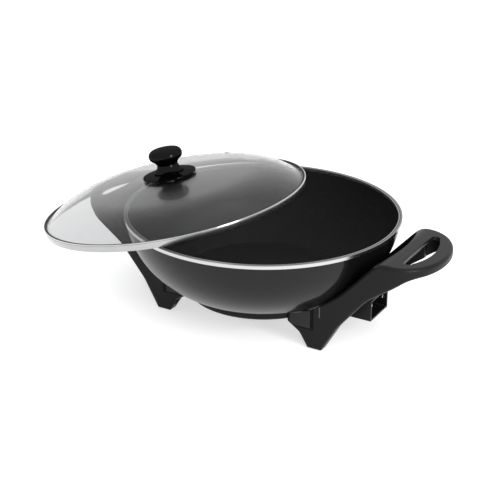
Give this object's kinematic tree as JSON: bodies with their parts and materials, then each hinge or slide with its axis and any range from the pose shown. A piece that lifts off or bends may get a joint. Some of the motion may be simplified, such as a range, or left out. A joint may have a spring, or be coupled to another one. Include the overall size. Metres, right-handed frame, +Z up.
{
  "type": "electric wok",
  "caption": "Electric wok: round non-stick pan on a heater casting, loop handles moulded in one with the legs, a heat inlet under a handle, and a domed glass lid resting ajar.",
  "frame": {"origin": "on the table under the middle of the pan, in the plane of the feet", "axes": "+X from the pan's middle to the handle that has the heat inlet under it, +Z up, +Y completes the right-handed set"},
  "size_m": [0.5111, 0.3431, 0.1927],
  "materials": {
    "pan_metal": "dark satin non-stick coating on cast aluminium",
    "casting_metal": "black painted casting",
    "element_steel": "dull heat-toned tube",
    "ceramic": "unglazed ceramic bead",
    "plated_brass": "nickel plated",
    "block_plastic": "black heat-proof moulding",
    "guard_metal": "black painted sheet",
    "fastener_steel": "zinc plated",
    "handle_plastic": "charcoal-black phenolic moulding, satin",
    "lid_glass": "clear toughened glass",
    "band_steel": "bright rolled stainless steel",
    "knob_plastic": "gloss black phenolic",
    "seal_rubber": "black silicone"
  },
  "bodies": {
    "wok": {"pan_bowl": "pan_metal", "heater_casting": "casting_metal", "heating_element": "element_steel", "element_beads": "ceramic", "terminal_pins": "plated_brass", "terminal_straps": "plated_brass", "sensor_well": "element_steel", "terminal_block": "block_plastic", "inlet_guard": "guard_metal", "guard_screws": "fastener_steel", "heater_nuts": "fastener_steel", "heater_washers": "fastener_steel", "left_handle": "handle_plastic", "right_handle": "handle_plastic", "handle_screws": "fastener_steel", "handle_washers": "fastener_steel"},
    "lid": {"lid_glass": "lid_glass", "lid_band": "band_steel", "vent_eyelet": "band_steel", "knob": "knob_plastic", "knob_disc": "knob_plastic", "knob_gasket": "seal_rubber", "knob_seal": "seal_rubber", "knob_plate": "fastener_steel", "knob_screw": "fastener_steel"}
  },
  "joints": [
    {"name": "lid_lift", "type": "slide", "parent": "wok", "child": "lid", "axis": [0, 0, 1], "range_m": [0, 0.15]}
  ]
}
